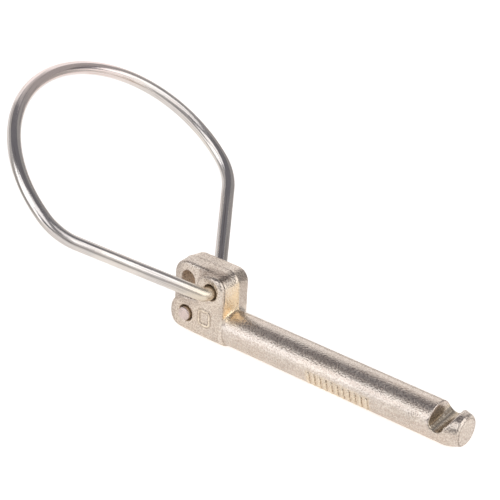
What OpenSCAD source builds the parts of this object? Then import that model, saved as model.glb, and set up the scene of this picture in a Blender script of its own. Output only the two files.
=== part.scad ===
// Linch pin with a snap bail: one forging and one bent spring wire.
// +X runs along the shank from the shoulder to the tip, +Z is up, Y is the line of the holes.
// The origin is on the shank's axis, level with the head's shoulder face.

/* [Shank] */
// Shank diameter
shank_d = 12; // [10:0.1:16]
// Length from the wire's seat in the notch to the end face
tip_over = 7.1; // [5:0.1:10]
// Radius lost over the tapered last length
tip_taper = 0.8; // [0:0.05:1.2]
// Rounding of the end face's rim
tip_round = 1.3; // [0.5:0.1:2]

/* [Head] */
// How much thicker the head is than the shank
head_over = 0.8; // [0:0.1:4]
// Length of the head behind the shoulder
head_len = 23; // [21:0.1:30]
// Height of the head above the shank's axis
head_top = 18.3; // [17:0.1:25]
// How far the front layer stands out of the back plate
step_d = 2.9; // [1.5:0.1:4]
// Radius of the head's corner over the shoulder
corner_r = 5.2; // [4:0.1:7]
// Radius of the back plate's ear
ear_r = 6; // [5:0.1:8]
// Radius of the front layer's lower lobe
lobe_r = 6.6; // [5.5:0.1:8]
// Rounding of the head's edges
edge_r = 1; // [0.4:0.1:1.5]
// Rounding of the head's two long lower edges
keel_r = 4.6; // [3:0.1:5]

/* [Bail] */
// Wire diameter
wire_d = 4.4; // [3:0.1:5]
// Centreline radius of the round end
loop_r = 42.5; // [35:0.1:52]
// Distance from between the hooks to the centre of the round end
loop_out = 46.6; // [39:0.1:57]
// Half of the angle that the round end runs through
loop_half = 94.7; // [85:0.1:105]
// Length of the corner from the round end to where the lines cross
corner_t = 6.6; // [4:0.1:9]
// Radius of the bend at each hook
hook_bend = 3.6; // [3:0.1:5]
// Rise of the open bail from the line behind the head, in degrees
open_rise = 40.35; // [20:0.05:60]
// Turn of the bail out of true, in degrees
bail_twist = 3.75; // [0:0.05:6]

/* [Fits] */
// Play of the wire in its holes, on the diameter
hole_play = 1; // [0.4:0.1:1.6]
// Gap between the legs and the head's faces
leg_gap = 0.25; // [0.1:0.05:1]
// Play of the wire in the notch, on the radius
notch_play = 0.2; // [0.1:0.05:0.6]
// How far a hook's tip stands out of the far face
hook_out = 1; // [0.5:0.1:3]
// Slope of the notch's outer wall, in degrees
notch_slope = 58; // [50:1:70]
// Rise of the notch towards the back, in degrees
notch_tilt = 8; // [0:0.5:12]
// Pivot's shift from midway between the hooks towards the notch
pivot_shift = 0.73; // [0:0.01:2]

/* [Hidden] */
$fn = 64;
shank_r = shank_d / 2;
head_t = shank_d + head_over;
front_y = -head_t / 2;
back_y = head_t / 2;
step_y = front_y + step_d;
wire_r = wire_d / 2;
hole_d = wire_d + hole_play;

wire_sides = 20;
loop_steps = 44;
wire_chamfer = 0.4;

// holes, as [x, z]
hole_a = [-corner_r - 0.2, head_top - corner_r - 0.6];
hole_b = [-head_len + lobe_r + 1.3, -shank_r + lobe_r + 1.3];
hole_c = [-head_len + ear_r, head_top - ear_r];
lobe_c = [hole_b[0], -shank_r + lobe_r + 0.7];

// bail: u runs out along it, v across it, both turned out of true together
mid = [(hole_a[0] + hole_b[0]) / 2, 0, (hole_a[1] + hole_b[1]) / 2];
u = [-cos(open_rise), 0, sin(open_rise)];
v = [-sin(open_rise) * sin(bail_twist), cos(bail_twist), -cos(open_rise) * sin(bail_twist)];
loop_c = mid + loop_out * u;
leg_y = head_t / 2 + wire_r + leg_gap;
foot_a = [hole_a[0], -leg_y, hole_a[1]];
foot_b = [hole_b[0], leg_y, hole_b[1]];
tip_a = [hole_a[0], back_y + hook_out, hole_a[1]];
tip_b = [hole_b[0], front_y - hook_out, hole_b[1]];

// pivot line, and the notch where the round end comes down
pivot = mid + [pivot_shift, 0, 0];
reach = norm(mid + (loop_out + loop_r) * u - pivot);
seat_z = shank_r - 3.2;
notch_x = pivot[0] + sqrt(pow(reach, 2) - pow(pivot[2] - seat_z, 2));
notch_r = wire_r + notch_play;
tip_x = notch_x + tip_over;
taper_x = tip_x - 5.5;

function unit(a) = a / norm(a);

// a disc whose axis is Y, with both rims rounded
module coin(c, r, y0, y1, e0, e1) {
    arc = [0, 30, 60, 90];
    translate([c[0], 0, c[1]])
        rotate([-90, 0, 0])
            rotate_extrude($fn = 40)
                polygon(concat([[0, y0]],
                    [for (a = arc) [r - e0 + e0 * sin(a), y0 + e0 - e0 * cos(a)]],
                    [for (a = arc) [r - e1 + e1 * cos(a), y1 - e1 + e1 * sin(a)]],
                    [[0, y1]]));
}

// one of the two rounded lower edges, running along the head
module keel(x0, x1, y) {
    translate([x0, y, -shank_r + keel_r])
        rotate([0, 90, 0])
            cylinder(h = x1 - x0, r = keel_r, $fn = 40);
}

module back_plate() {
    hull() {
        coin(hole_c, ear_r, step_y, back_y, edge_r, edge_r);
        coin([-corner_r, head_top - corner_r], corner_r, step_y, back_y, edge_r, edge_r);
        coin([-head_len + ear_r, -shank_r + ear_r], ear_r, step_y, back_y, edge_r, keel_r);
        keel(-corner_r, 0, back_y - keel_r);
        translate([-corner_r, step_y, -shank_r + keel_r])
            cube([corner_r, 1, corner_r]);
    }
}

// front layer: the upright over the shoulder and the lobe round the lower hole
module front_layer() {
    hull() {
        coin([-corner_r, head_top - corner_r], corner_r, front_y, back_y - 1, edge_r, edge_r);
        coin([-1.6, -shank_r + keel_r + 1], 1.6, front_y, 0, edge_r, 0.2);
        keel(-2 * corner_r, 0, front_y + keel_r);
        coin([-1.5 * corner_r, -shank_r + keel_r + 2], 3, front_y, 0, edge_r, 0.2);
    }
    hull() {
        coin(lobe_c, lobe_r, front_y, step_y + 1, edge_r, 0.2);
        coin([-2, lobe_c[1] + lobe_r - 3], 2, front_y, step_y + 1, edge_r, 0.2);
        keel(-1.7 * corner_r, -1, front_y + keel_r);
    }
}

module hole(c) {
    translate([c[0], back_y + 1, c[1]])
        rotate([90, 0, 0])
            cylinder(h = head_t + 2, d = hole_d);
}

module shank() {
    arc = [0, 22.5, 45, 67.5, 90];
    end_r = shank_r - tip_taper;
    rotate([0, 90, 0])
        rotate_extrude()
            polygon(concat(
                [[0, -corner_r], [shank_r - 0.2, -corner_r], [shank_r - 0.2, 0],
                 [shank_r, 0], [shank_r, taper_x]],
                [for (a = arc) [end_r - tip_round + tip_round * cos(a),
                                tip_x - tip_round + tip_round * sin(a)]],
                [[0, tip_x]]));
}

// groove across the shank: upright inner wall, round floor, sloping outer wall
module notch() {
    w = shank_d + 4;
    top = shank_r + 2 - seat_z;
    tx = notch_r * sin(notch_slope);
    tz = -notch_r * cos(notch_slope);
    floor_arc = [for (i = [0:10]) -90 + (90 + notch_slope) * i / 10];
    translate([notch_x, 0, seat_z])
        rotate([90 + notch_tilt, 0, 0])
            linear_extrude(height = w, center = true)
                polygon(concat([[-notch_r, top]],
                    [for (a = floor_arc) [notch_r * sin(a), -notch_r * cos(a)]],
                    [[tx + (top - tz) / tan(notch_slope), top]]));
}

module pin_body() {
    color([0.74, 0.70, 0.63])
        difference() {
            union() {
                back_plate();
                front_layer();
                shank();
            }
            hole(hole_a);
            hole(hole_b);
            hole(hole_c);
            notch();
        }
}

// the wire's centreline is a list of [point, direction, radius]
function turn(d1, d2) = acos(d1 * d2);

// rounded corner at q, where the wire arrives along d1 and leaves along d2
function corner(q, d1, d2, r, n) =
    let (w = turn(d1, d2), m = unit(d2 - d1 * (d1 * d2)), c = q - r * tan(w / 2) * d1 + r * m)
    [for (i = [0:n])
        let (a = w * i / n)
        [c - r * cos(a) * m + r * sin(a) * d1, cos(a) * d1 + sin(a) * m, wire_r]];

// one side of the bail, from the round end to the hook's tip
function bail_side(side, foot, tip) =
    let (end = loop_c + loop_r * (cos(loop_half) * u + side * sin(loop_half) * v),
         e = unit(-sin(loop_half) * u + side * cos(loop_half) * v),
         q = end + corner_t * e,
         d = unit(foot - q),
         h = unit(tip - foot))
    concat(corner(q, e, d, corner_t / tan(turn(e, d) / 2), 8),
           corner(foot, d, h, hook_bend, 8),
           [[tip - wire_chamfer * h, h, wire_r], [tip, h, wire_r - wire_chamfer]]);

round_end = [for (i = [1:loop_steps - 1])
    let (a = loop_half * (2 * i / loop_steps - 1))
    [loop_c + loop_r * (cos(a) * u + sin(a) * v), -sin(a) * u + cos(a) * v, wire_r]];

function reversed(path) = [for (i = [len(path) - 1:-1:0]) [path[i][0], -path[i][1], path[i][2]]];

// the wire itself: rings of points round the centreline, joined into one skin
module bail() {
    path = concat(reversed(bail_side(-1, foot_a, tip_a)), round_end, bail_side(1, foot_b, tip_b));
    across = cross(u, v);
    n = wire_sides;
    last = len(path) - 1;
    points = [for (k = path)
        let (s = unit(across - k[1] * (k[1] * across)), t = cross(k[1], s))
        for (j = [0:n - 1]) k[0] + k[2] * (cos(360 * j / n) * s + sin(360 * j / n) * t)];
    skin = [for (i = [0:last - 1]) for (j = [0:n - 1])
        let (a = i * n + j, b = i * n + (j + 1) % n)
        for (f = [[a, a + n, b], [b, a + n, b + n]]) f];
    color([0.80, 0.80, 0.82])
        polyhedron(points, concat(skin, [[for (j = [0:n - 1]) j]],
                                  [[for (j = [n - 1:-1:0]) last * n + j]]));
}

pin_body();
bail();
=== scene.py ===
# A linch pin with a snap bail: the forging and the spring wire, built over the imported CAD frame.
import math
import bpy
import numpy as np
from mathutils import Matrix, Vector


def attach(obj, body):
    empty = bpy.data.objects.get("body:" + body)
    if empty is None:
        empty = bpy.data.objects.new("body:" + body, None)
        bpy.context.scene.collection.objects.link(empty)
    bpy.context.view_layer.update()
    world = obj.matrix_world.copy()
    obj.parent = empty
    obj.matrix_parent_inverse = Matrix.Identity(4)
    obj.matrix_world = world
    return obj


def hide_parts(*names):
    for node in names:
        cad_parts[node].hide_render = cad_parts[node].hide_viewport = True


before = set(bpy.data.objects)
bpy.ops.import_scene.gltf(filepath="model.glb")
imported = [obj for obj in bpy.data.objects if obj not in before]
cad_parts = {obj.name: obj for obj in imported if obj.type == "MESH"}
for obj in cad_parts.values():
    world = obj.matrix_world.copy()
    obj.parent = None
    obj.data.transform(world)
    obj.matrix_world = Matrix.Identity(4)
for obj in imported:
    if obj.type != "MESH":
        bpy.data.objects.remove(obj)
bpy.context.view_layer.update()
MM = 0.001

# ---------------------------------------------------------------- sizes, in mm, as in the CAD source
SHANK_R, HEAD_OVER = 6.0, 0.8
HEAD_T = 2 * SHANK_R + HEAD_OVER
HEAD_LEN = 23.0
HEAD_TOP = 18.3
STEP_D = 2.9
CORNER_R, EAR_R, LOBE_R, KEEL_R = 5.2, 6.0, 6.6, 4.6
WIRE_R, HOLE_PLAY = 2.2, 1.0
HOLE_R = WIRE_R + HOLE_PLAY / 2
LOOP_R, LOOP_OUT, LOOP_HALF, CORNER_T = 42.5, 46.6, math.radians(94.7), 6.6
HOOK_BEND, OPEN_RISE, TWIST = 3.6, math.radians(40.35), math.radians(3.75)
LEG_GAP, HOOK_OUT, PIVOT_SHIFT = 0.25, 1.0, 0.73
NOTCH_PLAY, NOTCH_SLOPE, NOTCH_TILT = 0.2, math.radians(58.0), math.radians(8.0)
SEAT_DEPTH, TIP_OVER, TAPER_LONG = 3.2, 7.1, 5.5
HOLE_A_IN, HOLE_A_DOWN = 0.2, 0.6  # how far hole A lies from the middle of the head's front corner
HOLE_B_IN, LOBE_UP = 1.3, 0.7  # how far hole B and the lobe lie from where the lobe would sit in the corner

FRONT_Y, BACK_Y = -HEAD_T / 2, HEAD_T / 2
STEP_Y = FRONT_Y + STEP_D
BASE_Z = -SHANK_R
HOLE_A = np.array([-CORNER_R - HOLE_A_IN, HEAD_TOP - CORNER_R - HOLE_A_DOWN])
HOLE_B = np.array([-HEAD_LEN + LOBE_R + HOLE_B_IN, BASE_Z + LOBE_R + HOLE_B_IN])
HOLE_C = np.array([-HEAD_LEN + EAR_R, HEAD_TOP - EAR_R])
LOBE_C = np.array([HOLE_B[0], BASE_Z + LOBE_R + LOBE_UP])

MID = np.array([(HOLE_A[0] + HOLE_B[0]) / 2, 0.0, (HOLE_A[1] + HOLE_B[1]) / 2])
OUT = np.array([-math.cos(OPEN_RISE), 0.0, math.sin(OPEN_RISE)])
ACROSS = np.array([-math.sin(OPEN_RISE) * math.sin(TWIST), math.cos(TWIST),
                   -math.cos(OPEN_RISE) * math.sin(TWIST)])
LOOP_C = MID + LOOP_OUT * OUT
PIVOT = MID + np.array([PIVOT_SHIFT, 0.0, 0.0])
REACH = np.linalg.norm(MID + (LOOP_OUT + LOOP_R) * OUT - PIVOT)
SEAT_Z = SHANK_R - SEAT_DEPTH
NOTCH_X = PIVOT[0] + math.sqrt(REACH ** 2 - (PIVOT[2] - SEAT_Z) ** 2)
NOTCH_R = WIRE_R + NOTCH_PLAY
TIP_X = NOTCH_X + TIP_OVER
TAPER_X = TIP_X - TAPER_LONG

# ---------------------------------------------------------------- sizes, in mm, of the finer shapes only
PART_Y, DRAFT, TRUE_AT = 1.3, 0.085, 1.4  # where the dies met, how far the sides lean, where they are to size
PLATE_TIGHTER, KEEL_EASIER, KEEL_OUT = 0.8, 1.1, 0.6  # changes to the CAD's radii, to suit the lean
RIM_FRONT, RIM_BACK, KEEL_EDGE = 1.5, 0.7, 0.6  # rounding of the plate's rims and of the keel's edges
UPRIGHT_LONG, UPRIGHT_R, UPRIGHT_DOWN = 2 * CORNER_R + 0.8, CORNER_R + 0.4, 0.2
STEP_FILLET, STEP_ROUND = 1.5, 1.1  # the step's inner corner and its outer edge
SADDLE, LOW_SADDLE = 2.2, 3.0  # soft inner corners between the parts of the front layer
LOW_X, LOW_Z = -12.0, 4.0  # how far back and how high the front layer's lower part goes
TAPER_TOP, TAPER_UNDER, TAPER_CURVE = 0.6, 1.25, 1.6  # what the tip loses above and below, and how it sets in
SHANK_IN, TIP_ROUND = 4.0, 1.15  # how far the shank runs into the head, and the rounding of its end
FILLET, HOLE_CHAMFER, NOTCH_EDGE = 1.5, 0.55, 0.45
CREASE_AT, CREASE_HALF, CREASE_DEPTH = 1.7, 0.32, 0.13  # groove behind the front face's rim
BEAD_X, BEAD_HALF, BEAD_HIGH = -0.75, 0.36, 0.16  # bead where the front face's edge stands over the shank
SEAM_HALF, SEAM_HIGH = 0.30, 0.10  # thin line where the dies met
CROP_ROUND, CROP_DOME = 0.45, 0.04  # the wire's cropped ends
CORNER_STEPS, HOOK_STEPS, BOW_STEPS, LEG_STEP = 20, 14, 149, 2.5  # how finely the bail's line is drawn

RIBS, RIBS_X, RIBS_LONG, RIBS_TURN = 11, 45.2, 21.6, -18.0  # how many, the row's middle, length and turn
RIB_TALL, RIB_WIDE, RIB_HIGH = 4.8, 1.2, 0.5
FRAME_X, FRAME_Z = -7.2, 2.9
FRAME_WIDE, FRAME_TALL, FRAME_R, FRAME_LINE, FRAME_HIGH = 4.3, 4.9, 1.1, 0.48, 0.23

FINE_STEP, ROUGH_STEP = 0.34, 0.8  # spacing of the forging's skin


# ---------------------------------------------------------------- solid shapes as distance functions
def both(a, b, k):
    """Smooth intersection; the edge it makes is rounded by about k."""
    h = np.maximum(k - np.abs(a - b), 0) / k
    return np.maximum(a, b) + h * h * k / 4


def either(a, b, k):
    """Smooth union; the inner corner it makes is filled by about k."""
    return -both(-a, -b, k)


def ramp(v, none, full):
    """0 at none, 1 at full, straight between; none may be the larger."""
    return np.clip((v - none) / (full - none), 0, 1)


def swell(v, middle, half):
    """A bell, 1 in the middle."""
    return np.exp(-((v - middle) / half) ** 2)


def rounded(d, w, r):
    """Distance to where d and w are both negative, with the corner between them rounded by r."""
    d, w = d + r, w + r
    return np.minimum(np.maximum(d, w), 0) + np.hypot(np.maximum(d, 0), np.maximum(w, 0)) - r


def rounded_rect(x, z, wide, tall, low_left, low_right, top_right, top_left):
    """A rectangle from wide[0] to wide[1] and tall[0] to tall[1], with a radius for each corner."""
    px, pz = x - sum(wide) / 2, z - sum(tall) / 2
    r = np.where(px > 0, np.where(pz > 0, top_right, low_right), np.where(pz > 0, top_left, low_left))
    return rounded(np.abs(px) - (wide[1] - wide[0]) / 2, np.abs(pz) - (tall[1] - tall[0]) / 2, r)


def slab(flat, y, y0, y1, e):
    """A flat outline given thickness from y0 to y1, its rims rounded by e."""
    return rounded(flat, np.abs(y - (y0 + y1) / 2) - (y1 - y0) / 2, e)


def head(x, y, z):
    """The two levels of the head: a drafted plate, and the front layer that stands out from it."""
    past, below = 12.0, -20.0  # the front layer's outlines run on to these, out of the plate
    small = 1.0  # radius of the corners that end up buried
    lean = DRAFT * (np.abs(y - PART_Y) - TRUE_AT)
    plate = lean + rounded_rect(x, z, (-HEAD_LEN, 0.0), (BASE_Z - 3.0, HEAD_TOP),
                                3.0, 0.6, CORNER_R - PLATE_TIGHTER, EAR_R - PLATE_TIGHTER)
    keel = rounded_rect(y, z, (FRONT_Y - KEEL_OUT, BACK_Y + KEEL_OUT), (BASE_Z, HEAD_TOP + 6.0),
                        KEEL_R + KEEL_EASIER, KEEL_R + KEEL_EASIER, 0.5, 0.5)
    rear_x, rear_z = EAR_R - HEAD_LEN, EAR_R + BASE_Z
    rear = np.where((x < rear_x) & (z < rear_z), np.hypot(x - rear_x, z - rear_z), 0.0) - EAR_R
    rim = RIM_FRONT + (RIM_BACK - RIM_FRONT) * ramp(y, PART_Y, PART_Y + 3.0)
    block = np.maximum(both(slab(plate, y, FRONT_Y, BACK_Y, rim), keel, KEEL_EDGE), rear)
    upright = rounded_rect(x, z, (-UPRIGHT_LONG, past), (below, HEAD_TOP - UPRIGHT_DOWN),
                           small, small, small, UPRIGHT_R)
    lobe = rounded_rect(x, z, (LOBE_C[0] - LOBE_R, past), (LOBE_C[1] - LOBE_R, LOBE_C[1] + LOBE_R),
                        LOBE_R, small, small, LOBE_R)
    low = rounded_rect(x, z, (LOW_X, past), (below, LOW_Z), small, small, small, small)
    front = either(either(upright, lobe, SADDLE), low, LOW_SADDLE)
    return both(block, either(front, STEP_Y - y, STEP_FILLET), STEP_ROUND)


def shank(x, y, z):
    """The round shank, its end tapered, more so underneath."""
    r = np.hypot(y, z)
    t = ramp(x, TAPER_X, TIP_X - TIP_ROUND)
    under = 0.5 - 0.5 * z / np.maximum(r, 1.0)
    side = r - (SHANK_R - (TAPER_TOP + (TAPER_UNDER - TAPER_TOP) * under) * t ** TAPER_CURVE)
    return np.maximum(rounded(side, x - TIP_X, TIP_ROUND), -SHANK_IN - x)


def notch(x, y, z):
    """The sloping groove for the bail's round end, open at the top."""
    nx = x - NOTCH_X
    nz = (z - SEAT_Z) * math.cos(NOTCH_TILT) - y * math.sin(NOTCH_TILT)
    inner = -nx - NOTCH_R
    outer = nx * math.sin(NOTCH_SLOPE) - nz * math.cos(NOTCH_SLOPE) - NOTCH_R
    above = np.maximum(np.maximum(inner, outer), -nz)
    return np.minimum(np.hypot(nx, nz) - NOTCH_R, above)


def forging(p):
    """The whole forging, as distances from an array of points."""
    x, y, z = p[:, 0], p[:, 1], p[:, 2]
    h, s = head(x, y, z), shank(x, y, z)
    # the crease fades out down the front corner and back along the top
    crease = swell(y, FRONT_Y + CREASE_AT, CREASE_HALF) * ramp(x + z, 3.0, 6.0) * ramp(x, -4.5, -2.5)
    bead = swell(x, BEAD_X, BEAD_HALF) * ramp(z, 4.0, 2.5) * ramp(z, -5.0, -3.5)
    h = h + CREASE_DEPTH * crease - BEAD_HIGH * bead * (y < 0)
    # fillet at the shoulder only where the head stands above the shank
    k = 0.1 + FILLET * ramp(z, 0.5, 3.5)
    blend = np.maximum(k - np.abs(h - s), 0) / k
    d = np.minimum(h, s) - blend * blend * k / 4 * ramp(x, -0.6, 0.0)
    d = d - SEAM_HIGH * swell(y, PART_Y, SEAM_HALF) * ramp(z, 2.0, 4.0)
    for hx, hz in (HOLE_A, HOLE_B, HOLE_C):
        d = both(d, HOLE_R - np.hypot(x - hx, z - hz), HOLE_CHAMFER)
    return both(d, -notch(x, y, z), NOTCH_EDGE)


# ---------------------------------------------------------------- meshes
def put(name, data):
    """A new object in the scene for a mesh, a light or a camera."""
    obj = bpy.data.objects.new(name, data)
    bpy.context.scene.collection.objects.link(obj)
    return obj


def new_object(name, verts, faces, edges=()):
    mesh = bpy.data.meshes.new(name)
    mesh.from_pydata([tuple(v) for v in np.asarray(verts) * MM], edges,
                     [tuple(int(i) for i in f) for f in faces])
    mesh.update()
    mesh.polygons.foreach_set("use_smooth", [True] * len(mesh.polygons))
    return put(name, mesh)


def middles(f):
    """The cells of a grid of distances that the skin passes through, and where in each the skin runs."""
    cells = [n - 1 for n in f.shape]
    total, count = np.zeros(cells + [3]), np.zeros(cells)
    for axis in range(3):
        others = [a for a in range(3) if a != axis]
        for i, j in ((0, 0), (0, 1), (1, 0), (1, 1)):
            start, stop = [None] * 3, [None] * 3
            start[axis], stop[axis] = slice(0, -1), slice(1, None)
            for a, o in zip(others, (i, j)):
                start[a] = stop[a] = slice(o, f.shape[a] - 1 + o)
            a0, a1 = f[tuple(start)], f[tuple(stop)]
            cross = (a0 < 0) != (a1 < 0)
            total[..., axis] += np.where(cross, a0 / np.where(cross, a0 - a1, 1), 0) * cross
            total[..., others[0]] += i * cross
            total[..., others[1]] += j * cross
            count += cross
    at = np.argwhere(count > 0)
    return at, total[tuple(at.T)] / count[tuple(at.T)][:, None]


def quads_between(inside, index, axis):
    """The skin's faces that cross the grid's edges along one axis, all facing outwards."""
    b, c = (axis + 1) % 3, (axis + 2) % 3
    start, stop = [slice(None)] * 3, [slice(None)] * 3
    start[axis], stop[axis] = slice(0, -1), slice(1, None)
    s0, s1 = inside[tuple(start)], inside[tuple(stop)]
    edges = np.argwhere(s0 != s1)
    edges = edges[(edges[:, b] > 0) & (edges[:, c] > 0)]
    quads = []
    for db, dc in ((1, 1), (0, 1), (0, 0), (1, 0)):
        q = edges.copy()
        q[:, b] -= db
        q[:, c] -= dc
        quads.append(index[tuple(q.T)])
    quads = np.stack(quads, 1)
    flip = s1[tuple(edges.T)]
    quads[flip] = quads[flip][:, ::-1]
    return quads


def skin_of(shape, low, high, step):
    """Closed quad skin of a distance function, by surface nets, drawn onto the shape in three passes."""
    n = [int(math.ceil((b - a) / step)) + 1 for a, b in zip(low, high)]
    axes = [a + step * np.arange(k) for a, k in zip(low, n)]
    grid = np.stack(np.meshgrid(*axes, indexing="ij"), -1).reshape(-1, 3)
    f = np.concatenate([shape(part) for part in np.array_split(grid, 8)]).reshape(n)
    at, local = middles(f)
    index = -np.ones([k - 1 for k in n], int)
    index[tuple(at.T)] = np.arange(len(at))
    verts = np.array(low) + (at + local) * step
    faces = np.concatenate([quads_between(f < 0, index, axis) for axis in range(3)])
    nudge = 0.02
    for _ in range(3):
        d = shape(verts)
        slope = np.stack([(shape(verts + o) - shape(verts - o)) / (2 * nudge) for o in np.eye(3) * nudge], 1)
        verts = verts - slope * (d / np.maximum((slope * slope).sum(1), 0.25))[:, None]
    return verts, faces


def unit(a):
    return a / np.linalg.norm(a)


def bend(at, before, after, radius, steps):
    """Points and radii of a bend at a sharp corner, from one direction to another."""
    turn = math.acos(float(np.clip(before @ after, -1, 1)))
    inward = unit(after - before * (before @ after))
    middle = at - radius * math.tan(turn / 2) * before + radius * inward
    return [(middle - radius * math.cos(a) * inward + radius * math.sin(a) * before, WIRE_R)
            for a in np.linspace(0, turn, steps + 1)]


def bail_side(side, foot, tip):
    """From an end of the bow to a hook's tip: a corner, the leg, the hook's bend and its cropped end."""
    end = LOOP_C + LOOP_R * (math.cos(LOOP_HALF) * OUT + side * math.sin(LOOP_HALF) * ACROSS)
    leave = unit(-math.sin(LOOP_HALF) * OUT + side * math.cos(LOOP_HALF) * ACROSS)
    sharp = end + CORNER_T * leave
    leg, hook = unit(foot - sharp), unit(tip - foot)
    turn = math.acos(float(leave @ leg))
    path = bend(sharp, leave, leg, CORNER_T / math.tan(turn / 2), CORNER_STEPS)
    path += bend(foot, leg, hook, HOOK_BEND, HOOK_STEPS)
    path += [(tip - CROP_ROUND * hook, WIRE_R)]
    path += [(tip - CROP_ROUND * (1 - math.sin(a)) * hook, WIRE_R - CROP_ROUND * (1 - math.cos(a)))
             for a in np.linspace(0.3, math.pi / 2, 5)]
    return path + [(tip + CROP_DOME * hook, WIRE_R * 0.45)]


def wire_path():
    """The bail's middle line from hook A to hook B: points and radii."""
    leg_y = BACK_Y + WIRE_R + LEG_GAP
    foot_a = np.array([HOLE_A[0], -leg_y, HOLE_A[1]])
    foot_b = np.array([HOLE_B[0], leg_y, HOLE_B[1]])
    tip_a = np.array([HOLE_A[0], BACK_Y + HOOK_OUT, HOLE_A[1]])
    tip_b = np.array([HOLE_B[0], FRONT_Y - HOOK_OUT, HOLE_B[1]])
    bow = [(LOOP_C + LOOP_R * (math.cos(a) * OUT + math.sin(a) * ACROSS), WIRE_R)
           for a in np.linspace(-LOOP_HALF, LOOP_HALF, BOW_STEPS + 1)[1:-1]]
    path = bail_side(-1, foot_a, tip_a)[::-1] + bow + bail_side(1, foot_b, tip_b)
    # the straight legs get points of their own
    filled = [path[0]]
    for (p, r), (q, s) in zip(path, path[1:]):
        count = int(np.linalg.norm(q - p) // LEG_STEP)
        filled += [(p * (1 - i / count) + q * i / count, r * (1 - i / count) + s * i / count)
                   for i in range(1, count)]
        filled.append((q, s))
    return filled


# ---------------------------------------------------------------- node trees
class Val:
    """A node's output that can be added, multiplied and so on."""

    def __init__(self, graph, socket):
        self.graph, self.socket = graph, socket

    def op(self, kind, *others):
        return self.graph.node("ShaderNodeMath", {"operation": kind}, dict(enumerate((self,) + others)))

    def __add__(self, other):
        return self.op("ADD", other)

    def __radd__(self, other):
        return self.op("ADD", other)

    def __sub__(self, other):
        return self.op("SUBTRACT", other)

    def __rsub__(self, other):
        return (-self).op("ADD", other)

    def __mul__(self, other):
        return self.op("MULTIPLY", other)

    def __rmul__(self, other):
        return self.op("MULTIPLY", other)

    def __truediv__(self, other):
        return self.op("DIVIDE", other)

    def __neg__(self):
        return self.op("MULTIPLY", -1.0)

    def __abs__(self):
        return self.op("ABSOLUTE")

    def sq(self):
        return self.op("MULTIPLY", self)

    def sqrt(self):
        return self.op("SQRT")

    def max(self, other):
        return self.op("MAXIMUM", other)

    def min(self, other):
        return self.op("MINIMUM", other)

    def clamp(self):
        return self.max(0.0).min(1.0)

    def step(self, none, full):
        """0 at none, 1 at full, smooth between; none may be the larger."""
        lo, hi, a, b = (none, full, 0.0, 1.0) if none < full else (full, none, 1.0, 0.0)
        return self.graph.node("ShaderNodeMapRange", {"interpolation_type": "SMOOTHSTEP"},
                               {"Value": self, "From Min": lo, "From Max": hi, "To Min": a, "To Max": b})

    def near(self, middle, full, none):
        """1 within full of the middle, 0 past none from it."""
        return abs(self - middle).step(none, full)

    def split(self):
        node = self.graph.node("ShaderNodeSeparateXYZ", {}, {0: self}).socket.node
        return [Val(self.graph, out) for out in node.outputs]


def from_middle(a, b):
    """Distance from a line, given the two distances across it."""
    return (a.sq() + b.sq()).sqrt()


class Graph:
    """A node tree being put together."""

    def __init__(self, tree):
        self.tree = tree

    def node(self, kind, settings=None, sockets=None, out=0):
        node = self.tree.nodes.new(kind)
        for key, v in (settings or {}).items():
            setattr(node, key, v)
        for key, v in (sockets or {}).items():
            if isinstance(v, Val):
                self.tree.links.new(v.socket, node.inputs[key])
            else:
                node.inputs[key].default_value = v
        return Val(self, node.outputs[out])

    def combine(self, x, y, z):
        return self.node("ShaderNodeCombineXYZ", {}, {0: x, 1: y, 2: z})


class Paint(Graph):
    """One material being put together, colour over colour."""

    def __init__(self, name):
        self.mat = bpy.data.materials.new(name)
        self.mat.use_nodes = True
        super().__init__(self.mat.node_tree)
        self.shader = next(n for n in self.tree.nodes if n.type == "BSDF_PRINCIPLED")
        self.where = self.node("ShaderNodeTexCoord", out="Object")
        self.colour = None

    def noise(self, where, scale, detail=0.0, rough=0.5):
        return self.node("ShaderNodeTexNoise", {},
                         {"Vector": where, "Scale": scale, "Detail": detail, "Roughness": rough})

    def carried(self, name):
        """A value that the piece's points carry."""
        return self.node("ShaderNodeAttribute", {"attribute_name": name}, out="Fac")

    def mix(self, t, a, b):
        a, b = (v if isinstance(v, Val) else (*v, 1.0) for v in (a, b))
        return self.node("ShaderNodeMix", {"data_type": "RGBA"}, {0: t, 6: a, 7: b}, out=2)

    def over(self, mask, colour):
        """Lay a colour over what is there, where the mask is 1."""
        self.colour = self.mix(mask, self.colour, colour)

    def bump(self, height, strength, distance, normal=None):
        sockets = {"Strength": strength, "Distance": distance, "Height": height}
        if normal is not None:
            sockets["Normal"] = normal
        return self.node("ShaderNodeBump", {}, sockets, out="Normal")

    def finish(self, **values):
        for name, v in {"Base_Color": self.colour, **values}.items():
            slot = self.shader.inputs[name.replace("_", " ")]
            if isinstance(v, Val):
                self.tree.links.new(v.socket, slot)
            else:
                slot.default_value = v
        return self.mat


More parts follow.
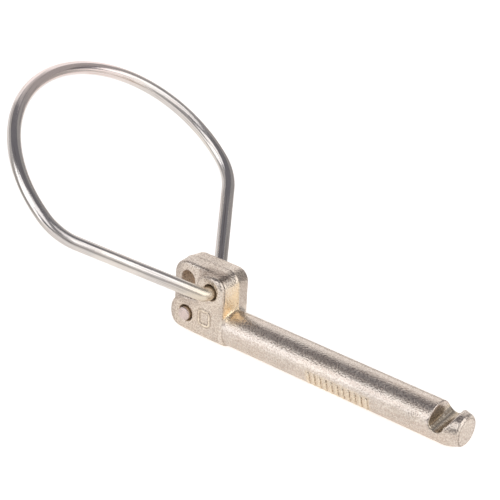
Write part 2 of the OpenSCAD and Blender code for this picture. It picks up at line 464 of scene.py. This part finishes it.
class Recipe(Graph):
    """A Geometry Nodes tree with named inputs for its sizes."""

    def __init__(self, name, **sizes):
        super().__init__(bpy.data.node_groups.new(name, "GeometryNodeTree"))
        self.sizes = sizes
        face = self.tree.interface
        face.new_socket("Geometry", in_out="OUTPUT", socket_type="NodeSocketGeometry")
        face.new_socket("Geometry", in_out="INPUT", socket_type="NodeSocketGeometry")
        for key, v in sizes.items():
            kind = "NodeSocketInt" if isinstance(v, int) else "NodeSocketFloat"
            face.new_socket(key, in_out="INPUT", socket_type=kind)
        self.start = self.tree.nodes.new("NodeGroupInput")
        self.end = self.tree.nodes.new("NodeGroupOutput")

    def given(self, name):
        return Val(self, self.start.outputs[name])

    def geo(self, kind, settings=None, sockets=None, out=0):
        return self.node("GeometryNode" + kind, settings, sockets, out)

    def keep(self, geometry, name, value):
        """Carry a value on the points, for the finish to read."""
        return self.geo("StoreNamedAttribute", {"data_type": "FLOAT", "domain": "POINT"},
                        {"Geometry": geometry, "Name": name, "Value": value})

    def sweep(self, path, sides, scale):
        """A round bar along a path, closed at its ends; its points know where round it they are."""
        ring = self.geo("CurvePrimitiveCircle", {"mode": "RADIUS"}, {"Resolution": sides, "Radius": 1.0})
        x, y, _ = self.geo("InputPosition").split()
        ring = self.keep(self.keep(ring, "ring_x", x), "ring_y", y)
        return self.geo("CurveToMesh", {}, {"Curve": path, "Profile Curve": ring, "Scale": scale,
                                            "Fill Caps": True})

    def place(self, geometry, x, y, z):
        return self.geo("SetPosition", {}, {"Geometry": geometry, "Position": self.combine(x, y, z)})

    def make(self, obj, geometry, mat):
        """Close the tree, run it on obj and leave the result there as a plain mesh."""
        smooth = self.geo("SetShadeSmooth", {}, {"Geometry": geometry, "Shade Smooth": True})
        whole = self.geo("RealizeInstances", {}, {"Geometry": smooth})
        whole = self.geo("SetMaterial", {}, {"Geometry": whole, "Material": mat})
        self.tree.links.new(whole.socket, self.end.inputs[0])
        run = obj.modifiers.new("recipe", "NODES")
        run.node_group = self.tree
        for item in self.tree.interface.items_tree:
            if item.in_out == "INPUT" and item.name in self.sizes:
                run[item.identifier] = self.sizes[item.name]
        bpy.context.view_layer.update()
        ready = bpy.context.evaluated_depsgraph_get()
        mesh = bpy.data.meshes.new_from_object(obj.evaluated_get(ready), preserve_all_data_layers=True,
                                               depsgraph=ready)
        obj.modifiers.clear()
        obj.data = mesh
        mesh.materials.clear()
        mesh.materials.append(mat)
        mesh.polygons.foreach_set("material_index", [0] * len(mesh.polygons))
        return obj


# ---------------------------------------------------------------- finishes, their masks in mm
SHANK_TONES = (0.755, 0.672, 0.592), (0.835, 0.752, 0.675)
HEAD_TONES = (0.76, 0.665, 0.57), (0.84, 0.745, 0.65)
GREY_CLOUD, DRAWN_LINE = (0.70, 0.645, 0.60), (0.62, 0.50, 0.43)
PALE_YELLOW, DEEP_YELLOW, RIB_YELLOW = (0.95, 0.87, 0.78), (1.0, 0.78, 0.50), (0.93, 0.79, 0.60)
MARK_FOOT_SHADE, MARK_TOP_WEAR_AND_HIGHLIGHT, FRAME_FOOT_SHADE = (0.42, 0.33, 0.24), (0.98, 0.86, 0.68), (0.45, 0.36, 0.27)
END_RING_DARK = (0.34, 0.28, 0.24)
BORE = (0.93, 0.77, 0.60)
NOTCH_TONES, NOTCH_SIDE = ((0.48, 0.40, 0.30), (0.70, 0.62, 0.50)), (0.70, 0.61, 0.58)
REAR_SHADE, TOP_DARK_REFLECTION, STEP_AND_LEG_SHADE = (0.47, 0.41, 0.37), (0.36, 0.29, 0.24), (0.40, 0.33, 0.29)
RIM_HIGHLIGHT, EDGE_HIGHLIGHT = (0.92, 0.84, 0.76), (0.97, 0.89, 0.80)
EDGE_SHADE, CREASE_SHADE = (0.40, 0.33, 0.28), (0.16, 0.12, 0.09)
DARK_SPECK, LIGHT_SPECK = (0.38, 0.31, 0.27), (0.96, 0.90, 0.83)

WIRE_TONES = (0.70, 0.675, 0.665), (0.81, 0.77, 0.735)
WIRE_BOW, WIRE_HOOK_REFLECTION, WIRE_END = (0.93, 0.81, 0.79), (0.84, 0.74, 0.58), (0.72, 0.60, 0.60)
WIRE_LINE = (0.36, 0.31, 0.28)


def blasted_plating(p, x, y, z):
    """Plating over blasted steel, cloudy, the head a little warmer than the shank."""
    tone = p.noise(p.where, 140.0, 3.0, 0.6).step(0.35, 0.65)
    p.colour = p.mix(tone, *SHANK_TONES)
    p.over(x.step(0.5, -0.5), p.mix(tone, *HEAD_TONES))
    cloud = p.noise(p.where, 60.0, 3.0, 0.6).step(0.40, 0.66)
    p.over(cloud * 0.45, GREY_CLOUD)
    # faint lines along the shank, left from the bar that it was forged from
    drawn = p.noise(p.combine(x * 0.04 * MM, y * MM, z * MM), 900.0, 1.0)
    p.over(drawn.step(0.56, 0.40) * x.step(0.0, 6.0) * 0.30, DRAWN_LINE)


def shoulder_face(x, y, z):
    """The face over the shank where the plating gathered."""
    return abs(x).step(1.3, 0.3) * abs(y + 1.5).step(3.8, 2.8) * z.step(3.5, 5.0) * y.step(2.4, 0.6)


def yellow_plating(p, x, y, z):
    """Plating thick in the corner under the head, on the shoulder and round the ribs."""
    shoulder = shoulder_face(x, y, z)
    root = x.step(8.0, 1.5) * x.step(-0.6, 0.2) * z.step(2.6, 4.6) * y.step(2.4, 0.6)
    low = z.step(14.5, 6.5)
    p.over(shoulder * 0.7, PALE_YELLOW)
    p.over((shoulder * (0.25 + low * 0.75) + root * 0.6).clamp() * 0.85, DEEP_YELLOW)
    ribs = x.near(RIBS_X, RIBS_LONG / 2 + 0.6, RIBS_LONG / 2 + 1.8) * z.near(-2.0, 2.3, 3.3)
    p.over(ribs * y.step(-2.0, -3.0) * 0.55, RIB_YELLOW)


def marks_wear_and_shade(p, x, y, z):
    """The ribs and the frame: rubbed light on top with a painted highlight, painted shade along their feet
    and a painted shade line round the frame.
    """
    stand = (from_middle(y, z) - SHANK_R).max(0.0) * x.step(2.0, 3.0)
    stand = stand.max((FRONT_Y - y) * 1.5 * x.step(0.0, -1.0))
    # painted shade along the feet of the ribs and the frame
    p.over(stand.step(0.04, 0.10) * stand.step(0.26, 0.16) * 0.7, MARK_FOOT_SHADE)
    # lighter tops: rubbed wear with a painted highlight
    p.over(stand.step(0.2, 0.36) * 0.8, MARK_TOP_WEAR_AND_HIGHLIGHT)
    in_x = abs(x - FRAME_X) - (FRAME_WIDE / 2 - FRAME_R)
    in_z = abs(z - FRAME_Z) - (FRAME_TALL / 2 - FRAME_R)
    off = abs(from_middle(in_x.max(0.0), in_z.max(0.0)) + in_x.max(in_z).min(0.0) - FRAME_R)
    # a painted shade line round the frame's foot
    p.over(off.near(0.62, 0.1, 0.3) * y.step(FRONT_Y + 1.0, FRONT_Y + 0.5) * 0.5, FRAME_FOOT_SHADE)


def dark_end_ring(p, x, y, z):
    """A dark line round the end, at the edge of the end face."""
    ring = from_middle(y, z).near(SHANK_R - TIP_ROUND - 0.55, 0.05, 0.35)
    p.over(ring * x.step(TIP_X - 0.9, TIP_X - 0.3) * 0.8, END_RING_DARK)


def bores(p, x, y, z):
    """Browner in the three holes; gives back where they are."""
    a, b, c = (from_middle(x - float(hx), z - float(hz)).step(HOLE_R + 0.25, HOLE_R)
               for hx, hz in (HOLE_A, HOLE_B, HOLE_C))
    inside = a.max(b).max(c) * abs(y).step(BACK_Y - 0.1, BACK_Y - 0.3)
    p.over(inside * 0.85, BORE)
    return inside


def notch_walls(p, x, y, z):
    """Dull, with streaks across, in the groove near the tip; gives back where it is."""
    nx = x - float(NOTCH_X)
    nz = (z - float(SEAT_Z)) * math.cos(NOTCH_TILT) - y * math.sin(NOTCH_TILT)
    slope = nx * math.sin(NOTCH_SLOPE) - nz * math.cos(NOTCH_SLOPE) - NOTCH_R
    above = (-nx - NOTCH_R).max(slope).max(-nz)
    inside = (from_middle(nx, nz) - NOTCH_R).min(above).step(0.30, 0.08)
    streak = p.noise(p.combine(nx * MM, y * 0.08 * MM, nz * MM), 1500.0, 1.0)
    tone = p.mix(streak.step(0.35, 0.65), *NOTCH_TONES)
    p.over(inside * 0.9, p.mix(nz.step(-0.6, 1.2) * 0.7, tone, NOTCH_SIDE))
    return inside


def painted_shade_places(p, x, y, z):
    """Painted shade round the rear edges, in the step's corners, under the wire's leg and on the back rim; a
    painted dark reflection along the top behind the front face's rim.
    """
    # painted shade round the rear edges
    p.over(x.step(5.0 - HEAD_LEN, 1.4 - HEAD_LEN) * y.step(2.0, 0.0) * 0.8, REAR_SHADE)
    # a painted dark reflection along the top, behind the front face's rim
    top = y.near(FRONT_Y + 3.2, 1.2, 3.2) * z.step(14.0, 16.5) * x.step(-12.0, -8.0) * x.step(-0.5, -1.8)
    p.over(top * 0.8, TOP_DARK_REFLECTION)
    # painted shade in the step's corner, under the wire's leg and on the back rim
    step_rim = x.near(-11.4, 0.8, 1.9) * z.step(5.5, 8.0) * y.step(-2.2, -3.2)
    under_leg = z.near(6.8, 1.0, 2.2) * x.step(-11.5, -13.5) * y.step(-4.5, -5.5)
    back_rim = x.step(-2.2, -0.6) * x.step(1.5, 1.0) * y.step(0.6, 2.2) * z.step(5.5, 7.0)
    p.over((step_rim * 0.65).max(under_leg * 0.5).max(back_rim * 0.4), STEP_AND_LEG_SHADE)


def front_rim(p, x, y, z):
    """The front face's rim and edge given a painted highlight, with painted shade beside the edge and in the
    crease.
    """
    outer = (x + z * 0.8).step(6.0, 8.0) * x.step(1.8, 1.2)
    # a painted highlight along the front face's rim
    p.over(y.near(FRONT_Y + 0.6, 0.4, 0.8) * outer * x.step(-5.5, -4.0) * 0.5, RIM_HIGHLIGHT)
    edge = z.step(4.5, 3.2) * y.step(-3.6, -4.6)
    # a painted highlight along the front edge, with painted shade beside it
    p.over(x.near(BEAD_X, 0.2, 0.6) * edge * 0.6, EDGE_HIGHLIGHT)
    p.over(x.near(0.2, 0.1, 0.4) * edge * 0.5, EDGE_SHADE)
    # painted shade in the crease
    crease = y.near(FRONT_Y + CREASE_AT - 0.1, 0.08, 0.28) * outer * x.step(-3.6, -2.4)
    p.over(crease * 0.85, CREASE_SHADE)


def plated_forging():
    """Shot-blasted, plated steel: grainy all over, yellower where plating gathered, browner in the holes."""
    p = Paint("plated_forging")
    x, y, z = (v * (1 / MM) for v in p.where.split())
    blasted_plating(p, x, y, z)
    yellow_plating(p, x, y, z)
    marks_wear_and_shade(p, x, y, z)
    dark_end_ring(p, x, y, z)
    in_hole = bores(p, x, y, z)
    in_notch = notch_walls(p, x, y, z)
    painted_shade_places(p, x, y, z)
    front_rim(p, x, y, z)
    grain = p.noise(p.where, 2050.0)
    specks = 0.36 + x.step(-0.5, -2.5) * 0.16 - 0.2 * shoulder_face(x, y, z)
    p.over(grain.step(0.60, 0.32) * specks, DARK_SPECK)
    p.over(grain.step(0.56, 0.72) * 0.32, LIGHT_SPECK)
    grain = grain * (1 - in_notch * 0.75)
    skin = p.bump(p.noise(p.where, 330.0, 1.0), 0.3, 0.15 * MM)
    skin = p.bump(grain, 1.0, 0.095 * MM, skin)
    # the blasting bit deeper along the head's upper front edges
    bitten = z.step(8.5, 12.0) * y.step(-0.5, -2.5) * x.step(-1.5, -3.0)
    skin = p.bump(p.noise(p.where, 950.0, 1.0) * bitten, 1.0, 0.14 * MM, skin)
    seam = y.near(PART_Y, 0.0, 0.45) * z.step(3.0, 5.0)
    skin = p.bump(seam, 1.0, 0.03 * MM, skin)
    return p.finish(Metallic=1.0 - in_hole * 0.75, Roughness=0.23 + grain * 0.12, Normal=skin)


def drawn_wire(length):
    """Bright drawn wire, rosier in the middle of the bow, duller at its hooks, with a painted warm reflection
    of the plated cheek there.
    """
    p = Paint("drawn_wire")
    along = p.carried("along") * (1 / MM)
    from_end = along.min(length - along)
    tone = p.noise(p.where, 60.0, 3.0, 0.6).step(0.35, 0.7)
    p.colour = p.mix(tone, *WIRE_TONES)
    p.over(along.near(length / 2, 12.0, 38.0) * 0.8, WIRE_BOW)
    hook = from_end.step(30.0, 14.0)
    # a painted warm reflection of the plated cheek near the hooks
    p.over(hook * 0.8, WIRE_HOOK_REFLECTION)
    p.over(from_end.step(0.9, 0.5) * 0.8, WIRE_END)
    # fine lines left along the wire by the die
    round_it = p.combine(p.carried("ring_x"), p.carried("ring_y"), along * 0.012)
    lines = p.noise(round_it, 4.2, 2.0, 0.7)
    p.over(lines.step(0.50, 0.34) * 0.45, WIRE_LINE)
    grain = p.noise(p.where, 900.0, 2.0, 0.6)
    skin = p.bump(grain, 0.15, 0.1 * MM)
    skin = p.bump(lines, 0.5, 0.08 * MM, skin)
    return p.finish(Metallic=1.0, Roughness=0.12 + grain * 0.08 + hook * 0.10, Normal=skin)


# ---------------------------------------------------------------- the object
def forged_pin(mat):
    low = (-HEAD_LEN - 1.1, FRONT_Y - 1.3, BASE_Z - 1.3)
    high = (TIP_X + 1.2, BACK_Y + 1.4, HEAD_TOP + 1.3)
    obj = new_object("forging", *skin_of(forging, low, high, FINE_STEP))
    obj.data.materials.append(mat)
    return obj


def spring_wire():
    """A round wire swept along the bail's path; its points carry their distance along it."""
    points, radii = zip(*wire_path())
    length = float(sum(np.linalg.norm(b - a) for a, b in zip(points, points[1:])))
    obj = new_object("spring_wire", points, [], [(i, i + 1) for i in range(len(points) - 1)])
    layer = obj.data.attributes.new("thickness", "FLOAT", "POINT")
    layer.data.foreach_set("value", [r * MM for r in radii])
    g = Recipe("swept_wire", Sides=40)
    line = g.geo("MeshToCurve", {}, {"Mesh": g.given("Geometry")})
    line = g.keep(line, "along", g.geo("SplineParameter", out="Length"))
    thick = g.geo("InputNamedAttribute", {"data_type": "FLOAT"}, {"Name": "thickness"})
    return g.make(obj, g.sweep(line, g.given("Sides"), thick), drawn_wire(length))


def raised_ribs(mat):
    """A row of low rounded ribs across the lower front of the shank."""
    g = Recipe("raised_ribs", Count=RIBS, Pitch=RIBS_LONG / (RIBS - 1) * MM, Length=RIB_TALL * MM,
               Width=RIB_WIDE * MM, Height=RIB_HIGH * MM)
    long, wide = g.given("Length"), g.given("Width")
    bar = g.geo("CurvePrimitiveLine", {"mode": "POINTS"}, {"Start": (0, -0.5, 0), "End": (0, 0.5, 0)})
    bar = g.geo("ResampleCurve", {"mode": "COUNT"}, {"Curve": bar, "Count": 25})
    # full width but for its two ends, which are round
    from_mid = abs(g.geo("SplineParameter") - 0.5) * long
    bulge = (1.0 - ((from_mid - long * 0.5) / wide + 1.0).clamp().sq() * 0.97).sqrt()
    bar = g.sweep(bar, 14, bulge)
    u, v, h = g.geo("InputPosition").split()
    bar = g.place(bar, u * wide * 0.5, v * long, h * g.given("Height"))
    row = g.geo("MeshLine", {"mode": "OFFSET", "count_mode": "TOTAL"},
                {"Count": g.given("Count"), "Offset": g.combine(g.given("Pitch"), 0.0, 0.0)})
    row = g.geo("InstanceOnPoints", {}, {"Points": row, "Instance": bar})
    row = g.geo("RealizeInstances", {}, {"Geometry": row})
    # wrapped round the shank
    u, v, h = g.geo("InputPosition").split()
    r, a = h + SHANK_R * MM, v / (SHANK_R * MM) + math.radians(RIBS_TURN)
    row = g.place(row, u + (RIBS_X - RIBS_LONG / 2) * MM, -(r * a.op("COSINE")), r * a.op("SINE"))
    return g.make(new_object("raised_ribs", [], []), row, mat)


def raised_frame(mat):
    """A small raised frame low on the front cheek."""
    g = Recipe("raised_frame", Width=FRAME_WIDE * MM, Height=FRAME_TALL * MM, Corner=FRAME_R * MM,
               Line=FRAME_LINE * MM, Rise=FRAME_HIGH * MM)
    line = g.geo("CurvePrimitiveQuadrilateral", {"mode": "RECTANGLE"},
                 {"Width": g.given("Width"), "Height": g.given("Height")})
    line = g.geo("FilletCurve", {"mode": "POLY"}, {"Curve": line, "Count": 8, "Radius": g.given("Corner")})
    line = g.sweep(line, 14, g.given("Line"))
    u, v, h = g.geo("InputPosition").split()
    out = h / g.given("Line") * g.given("Rise")
    line = g.place(line, u + FRAME_X * MM, FRONT_Y * MM - out, v + FRAME_Z * MM)
    return g.make(new_object("raised_frame", [], []), line, mat)


plating = plated_forging()
pin, wire = forged_pin(plating), spring_wire()
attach(pin, "pin")
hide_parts("pin_body")
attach(wire, "bail")
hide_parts("bail")
for mark in (raised_ribs(plating), raised_frame(plating)):
    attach(mark, "pin")


# ---------------------------------------------------------------- stage, in metres, with angles in degrees
WARM_WHITE = (1.0, 0.965, 0.95)
PAPER = (0.94, 0.915, 0.88)
PAPER_WIDE, PAPER_BELOW = 1.5, 0.0002
PAPER_SEEN, PAPER_MIRRORED, PAPER_FALLOFF = 0.62, 0.43, 0.6
MIDDLE_X = -0.03  # the object's middle, which the paper's falloff is measured from
WALL_AWAY, WALL_PANELS = 1.6, 24
WALLS = {  # bearings from and to, angles of the lower and the upper edge, brightness
    "wall_behind": (100, 170, 3, 46, 1.05),
    "wall_behind_low": (100, 170, -2, 3, 0.85),
    "wall_above": (92, 150, 46, 64, 0.55),
    "wall_left_low": (170, 203, -6, 20, 0.92),
    "wall_left_high": (170, 203, 20, 48, 0.54),
    "wall_left_front": (203, 240, -20, 46, 0.50),
    "wall_far_side": (45, 100, -4, 50, 0.37),
    "wall_camera_side": (290, 322, 3, 22, 0.45),
    "wall_right": (322, 342, -4, 34, 0.75),
    "wall_right_low": (342, 380, -5, 6, 0.95),
}
AIM = Vector((0.02, 0, 0.01))  # what the softboxes face
CAMERA_AIM, CAMERA_AWAY = Vector((-0.01014, 0.01827, 0.017598)), 0.5
CAMERA_BEARING, CAMERA_RISE, CAMERA_LEAN, LENS_ANGLE = -51.1344, 25.2008, 3.3281, 18.2814


class Screen(Graph):
    """A floor, backdrop or world material, with its own shaders mixed by kind of ray."""

    def __init__(self, owner):
        owner.use_nodes = True
        super().__init__(owner.node_tree)
        self.end = next(n for n in self.tree.nodes if n.type.startswith("OUTPUT_"))
        self.path = self.node("ShaderNodeLightPath").socket.node

    def ray(self, kind):
        return Val(self, self.path.outputs["Is " + kind + " Ray"])

    def glow(self, colour, strength):
        return self.node("ShaderNodeEmission", {}, {"Color": (*colour, 1), "Strength": strength})

    def diffuse(self, colour):
        return self.node("ShaderNodeBsdfDiffuse", {}, {"Color": colour})

    def background(self, colour, strength):
        return self.node("ShaderNodeBackground", {}, {"Color": (*colour, 1), "Strength": strength})

    def add(self, a, b):
        return self.node("ShaderNodeAddShader", {}, {0: a, 1: b})

    def blend(self, factor, a, b):
        return self.node("ShaderNodeMixShader", {}, {0: factor, 1: a, 2: b})

    def close(self, shader):
        self.tree.links.new(shader.socket, self.end.inputs["Surface"])


def paper():
    """White to the camera but for the object's shadow, bright paper in reflections, lit for other rays.

    In reflections the paper falls off between the lights, where nothing stands near it."""
    mat = bpy.data.materials.new("floor")
    s = Screen(mat)
    x, y, _ = s.node("ShaderNodeTexCoord", out="Object").split()
    x = x - MIDDLE_X
    far = (x.sq() + y.sq() + 1e-6).sqrt()

    def towards(angle, half_width):
        a = math.radians(angle)
        return ((x * math.cos(a) + y * math.sin(a)) / far).step(math.cos(math.radians(half_width)), 1.0)

    sides = towards(222, 32).max(towards(315, 32)) * far.step(0.045, 0.17)
    left = 1 - sides.max(towards(75, 40) * far.step(0.03, 0.09)) * PAPER_FALLOFF
    lit = s.diffuse(s.combine(*PAPER))
    fallen = s.diffuse(s.combine(*(c * left for c in PAPER)))
    mirrored = s.add(fallen, s.glow(PAPER, PAPER_MIRRORED * left))
    seen = s.blend(s.ray("Glossy").max(s.ray("Transmission")), lit, mirrored)
    s.close(s.blend(s.ray("Camera"), seen, s.add(lit, s.glow((1, 1, 1), PAPER_SEEN))))
    return mat


def floor():
    bpy.ops.mesh.primitive_plane_add(size=PAPER_WIDE, location=(0, 0, BASE_Z * MM - PAPER_BELOW))
    obj = bpy.context.object
    obj.name = "floor"
    obj.data.materials.append(paper())


def wall(name, start, end, low, high, strength):
    """A curved screen standing round the table, white to the camera; for other rays it glows at its
    brightness, as a soft light.
    """
    mat = bpy.data.materials.new(name)
    s = Screen(mat)
    s.close(s.blend(s.ray("Camera"), s.glow(WARM_WHITE, strength), s.glow((1, 1, 1), 1.0)))
    verts = []
    for angle in (low, high):
        height = WALL_AWAY * math.tan(math.radians(angle))
        for i in range(WALL_PANELS + 1):
            a = math.radians(start + (end - start) * i / WALL_PANELS)
            verts.append((WALL_AWAY * math.cos(a), WALL_AWAY * math.sin(a), height))
    above = WALL_PANELS + 1
    mesh = bpy.data.meshes.new(name)
    mesh.from_pydata(verts, [], [(i, i + 1, above + i + 1, above + i) for i in range(WALL_PANELS)])
    mesh.materials.append(mat)
    put(name, mesh)


def surroundings():
    """White to the camera, a dim cool room for other rays."""
    world = bpy.data.worlds.new("studio")
    bpy.context.scene.world = world
    s = Screen(world)
    s.close(s.blend(s.ray("Camera"), s.background((0.93, 0.90, 0.98), 0.205), s.background((1, 1, 1), 1.0)))


def bearing(around, up):
    """The direction at a bearing round the object and an angle above the table."""
    a, e = math.radians(around), math.radians(up)
    return Vector((math.cos(a) * math.cos(e), math.sin(a) * math.cos(e), math.sin(e)))


def softbox(name, towards, away, wide, tall, power, colour):
    """A soft light standing in that direction from the object, facing it."""
    light = bpy.data.lights.new(name, "AREA")
    light.shape = "RECTANGLE"
    light.size, light.size_y = wide, tall
    light.energy = power
    light.color = colour
    obj = put(name, light)
    obj.location = AIM + towards * away
    obj.rotation_mode = "QUATERNION"
    obj.rotation_quaternion = towards.to_track_quat("Z", "Y")


def camera():
    """Looks down at the object over its front cheek, leaning a little to one side."""
    cam = bpy.data.cameras.new("camera")
    cam.lens_unit = "FOV"
    cam.angle = math.radians(LENS_ANGLE)
    cam.clip_start, cam.clip_end = 0.01, 50
    obj = put("camera", cam)
    back = bearing(CAMERA_BEARING, CAMERA_RISE)
    level, lean = Vector((-back.y, back.x, 0)).normalized(), math.radians(CAMERA_LEAN)
    right = level * math.cos(lean) + back.cross(level) * math.sin(lean)
    turn = Matrix((right, back.cross(right), back)).transposed()
    obj.matrix_world = Matrix.Translation(CAMERA_AIM + back * CAMERA_AWAY) @ turn.to_4x4()
    bpy.context.scene.camera = obj


floor()
for name, sizes in WALLS.items():
    wall(name, *sizes)
surroundings()
# brightness of a softbox is power / (pi * its area)
softbox("key", bearing(241, 15), away=0.4, wide=0.22, tall=0.265, power=0.236, colour=(0.97, 0.98, 1.0))
softbox("front", bearing(276, 38), away=1.0, wide=0.78, tall=0.72, power=1.9, colour=(1, 1, 1))
softbox("side", bearing(7, 32), away=1.0, wide=0.97, tall=0.92, power=3.6, colour=(1.0, 0.99, 0.97))
camera()
bpy.context.scene.view_settings.view_transform = "Standard"
